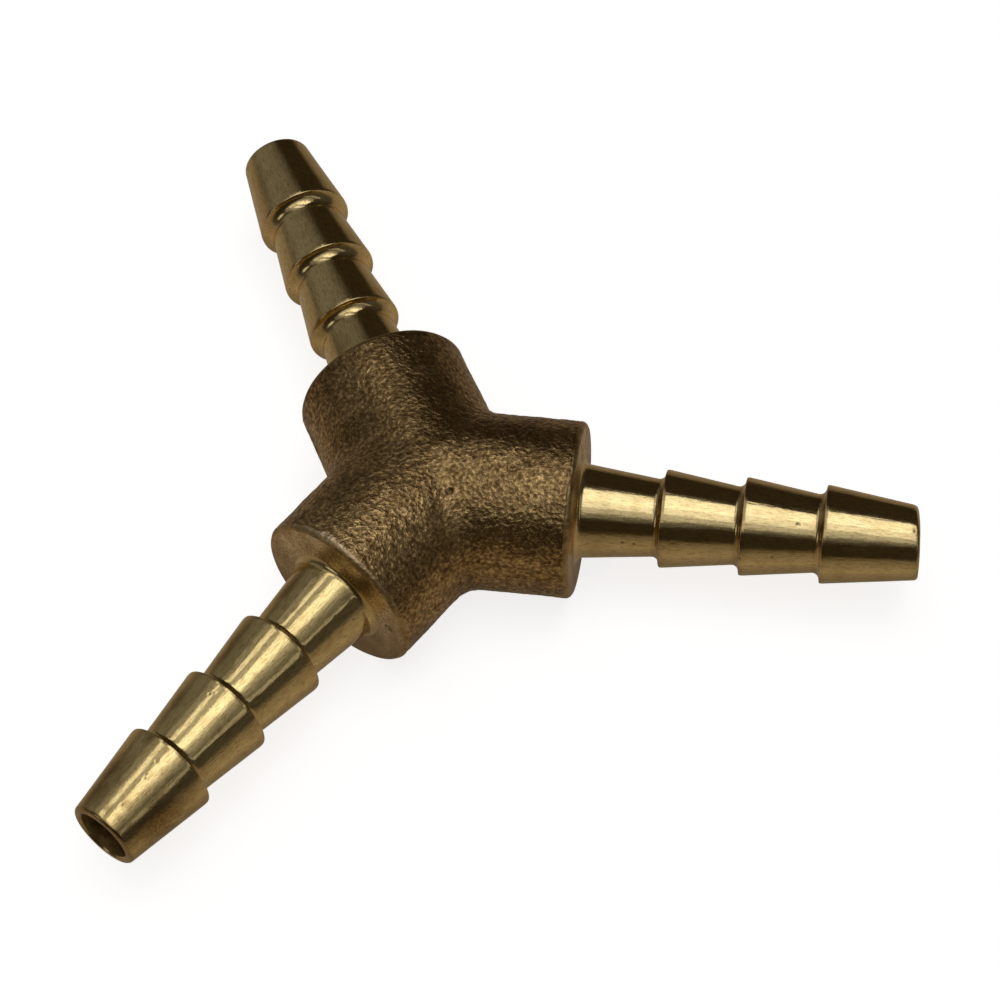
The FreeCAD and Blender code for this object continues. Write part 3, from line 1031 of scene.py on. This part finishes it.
def turned_brass(name, shift, bright, dull, wear):
    """Turned brass: bright, with fine marks round it, drawn-out streaks along it, some tarnish, and painted
    shade in its dents and in some of its stains.
    """
    material, tree = new_material(name)
    where = add_node(tree, "ShaderNodeAttribute", attribute_name="place").outputs["Vector"]
    layers = (TURNED_LINE, TURNED_HAIR, TURNED_STREAK, TURNED_TICK, TURNED_BLOT, TURNED_SPECK)
    line, hair, streak, tick, blot, speck = (wave(tree, where, layer, shift) for layer in layers)
    dulled = read_number(tree, "dulled")
    tarnish_and_shade = tail_tarnish_and_shade(tree, blot, speck, wear)
    marks = combine(tree, "MAXIMUM", remap(tree, speck, *DARK_SPECKS), remap(tree, hair, *DARK_HAIRS))
    colour = mix_colours(tree, marks, bright, dull)
    for share, over in (
        # tarnish, and painted shade where some stains stand in for it
        (tarnish_and_shade, TARNISH_AND_SHADE_COLOUR),
        (scaled(tree, dulled, DULLED_SHARE), DULLED_COLOUR),
        # painted shade in the dents
        (scaled(tree, read_number(tree, "pit"), DENT_SHADE_SHARE), DENT_SHADE_COLOUR),
    ):
        colour = mix_colours(tree, share, colour, over)
    rough = remap(tree, tick, *TURNED_ROUGHNESS)
    for share, rougher in ((tarnish_and_shade, TARNISH_ROUGHNESS), (dulled, DULLED_ROUGHNESS)):
        rough = combine(tree, "ADD", rough, scaled(tree, share, rougher))
    normal = None
    for height, distance in (
        (streak, STREAK_HEIGHT),
        (line, LINE_HEIGHT),
        (tick, TICK_HEIGHT),
        (speck, SPECK_HEIGHT),
        (scaled(tree, speck, tarnish_and_shade), TARNISH_HEIGHT),
    ):
        normal = bump(tree, height, distance, normal)
    finish_metal(tree, colour, rough, normal)
    return material


def pale_floor():
    """Plain pale matt floor that glows a little, so that it stays near white in the dim room."""
    material, tree = new_material("pale_floor")
    shader = add_node(tree, "ShaderNodeBsdfPrincipled", {
        "Base Color": (*FLOOR_COLOUR, 1.0), "Roughness": FLOOR_ROUGHNESS, "Emission Color": (*WHITE, 1.0),
        "Emission Strength": FLOOR_GLOW,
    })
    add_node(tree, "ShaderNodeOutputMaterial", {"Surface": shader.outputs["BSDF"]})
    return material


def pale_backdrop():
    """A plain glow."""
    material, tree = new_material("pale_backdrop")
    shader = add_node(tree, "ShaderNodeEmission", {"Color": (*WHITE, 1.0), "Strength": BACKDROP_GLOW})
    add_node(tree, "ShaderNodeOutputMaterial", {"Surface": shader.outputs["Emission"]})
    return material


# ---------------------------------------------------------------- studio


def patch(tree, towards, look, inner, outer, strength):
    """Light from a round patch of the sky, full inside one angle from its centre and gone beyond another."""
    made = add_node(tree, "ShaderNodeVectorMath", {0: look, 1: towards}, operation="DOT_PRODUCT")
    edges = (math.cos(math.radians(outer)), math.cos(math.radians(inner)))
    return remap(tree, made.outputs["Value"], edges, (0.0, strength), smooth=True)


def between(tree, value, start, end):
    """1 where a value is between two edges, each given as (middle, softness)."""
    (low, low_soft), (high, high_soft) = start, end
    above = remap(tree, value, (low - low_soft, low + low_soft), (0.0, 1.0), smooth=True)
    below = remap(tree, value, (high - high_soft, high + high_soft), (1.0, 0.0), smooth=True)
    return scaled(tree, above, below)


def panel(tree, axes, x_edges, y_edges, strength):
    """Light from an oblong ceiling panel. Its edges are distances over its height above the object."""
    height = axes["Z"]
    along = between(tree, combine(tree, "DIVIDE", axes["X"], height), *x_edges)
    across = between(tree, combine(tree, "DIVIDE", axes["Y"], height), *y_edges)
    return scaled(tree, scaled(tree, along, across), remap(tree, height, PANELS_FADE_IN, (0.0, strength)))


def room_light(tree, look, axes):
    """The strength of the room's white light from each direction."""
    glow = scaled(tree, scaled(tree, axes["X"], axes["X"]), SIDE_GLOW)
    for x_edges, y_edges, strength in CEILING_PANELS:
        glow = combine(tree, "ADD", glow, panel(tree, axes, x_edges, y_edges, strength))
    for towards, inner, outer, strength in SKY_PATCHES:
        light = patch(tree, direction(*towards), look, inner, outer, strength)
        glow = combine(tree, "ADD", glow, light)
    return glow


def make_world():
    """A dim room: dark and warm round the horizon, mid brown below, and lit by soft panels in its ceiling."""
    world = bpy.data.worlds.new("studio")
    world.use_nodes = True
    tree = world.node_tree
    tree.nodes.clear()
    look = add_node(tree, "ShaderNodeTexCoord").outputs["Generated"]
    axes = add_node(tree, "ShaderNodeSeparateXYZ", {"Vector": look}).outputs
    room = ramp(tree, remap(tree, axes["Z"], (-1.0, 1.0), (0.0, 1.0)), ROOM_STOPS)
    glow = room_light(tree, look, axes)
    light = add_node(tree, "ShaderNodeVectorMath", {0: WHITE, "Scale": glow}, operation="SCALE")
    both = add_node(tree, "ShaderNodeVectorMath", {0: room, 1: light.outputs["Vector"]}, operation="ADD")
    background = add_node(tree, "ShaderNodeBackground", {"Color": both.outputs["Vector"], "Strength": 1.0})
    add_node(tree, "ShaderNodeOutputWorld", {"Surface": background.outputs["Background"]})
    bpy.context.scene.world = world


def stage_object(name, shape, material):
    """A piece of the studio, which isn't part of the object."""
    mesh = bpy.data.meshes.new(name)
    shape.to_mesh(mesh)
    shape.free()
    made = new_object(name, mesh, [material])
    return made


def make_stage(sizes):
    """The floor, and a backdrop that only the camera sees."""
    shape = bmesh.new()
    bmesh.ops.create_circle(shape, cap_ends=True, segments=FLOOR_SEGMENTS, radius=FLOOR_RADIUS)
    bmesh.ops.translate(shape, verts=shape.verts, vec=(0.0, 0.0, sizes["floor"]))
    floor = stage_object("floor", shape, pale_floor())
    floor.visible_glossy = False
    shape = bmesh.new()
    bmesh.ops.create_icosphere(shape, subdivisions=BACKDROP_DIVISIONS, radius=BACKDROP_RADIUS)
    backdrop = stage_object("backdrop", shape, pale_backdrop())
    backdrop.visible_diffuse = False
    backdrop.visible_glossy = False
    backdrop.visible_transmission = False
    backdrop.visible_shadow = False


def make_camera():
    """The camera, turned about its own axis by the roll and moved so that the origin is off centre."""
    roll = math.radians(CAMERA_ROLL)
    back = direction(CAMERA_AZIMUTH, CAMERA_ELEVATION)
    level = direction(CAMERA_AZIMUTH + 90.0, 0.0)
    right = level * math.cos(roll) + back.cross(level) * math.sin(roll)
    up = back.cross(right)
    place = right * CAMERA_OFFSET[0] + up * CAMERA_OFFSET[1] + back * CAMERA_DISTANCE
    data = bpy.data.cameras.new("camera")
    data.lens = CAMERA_LENS
    data.sensor_width = CAMERA_SENSOR
    data.clip_start = CAMERA_NEAR
    data.clip_end = CAMERA_FAR
    camera = bpy.data.objects.new("camera", data)
    turn = Matrix((right, up, back)).transposed().to_4x4()
    camera.matrix_world = Matrix.Translation(place) @ turn
    bpy.context.scene.collection.objects.link(camera)
    bpy.context.scene.camera = camera


# ---------------------------------------------------------------- everything


def main():
    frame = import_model()
    sizes = read_sizes(frame)
    bpy.context.scene.view_settings.view_transform = "Standard"
    make_camera()
    make_world()
    make_stage(sizes)
    faced, bored = faced_brass(), bored_brass()
    make_hub(sizes, [cast_brass(), faced, bored])
    for number, (leg, degrees) in enumerate(LEGS.items()):
        bright = turned_brass(f"turned_brass_{leg}", TAIL_SHIFT * number, *TAIL_FINISH[leg])
        make_tail(leg, degrees, sizes, [bright, faced, bored])


main()
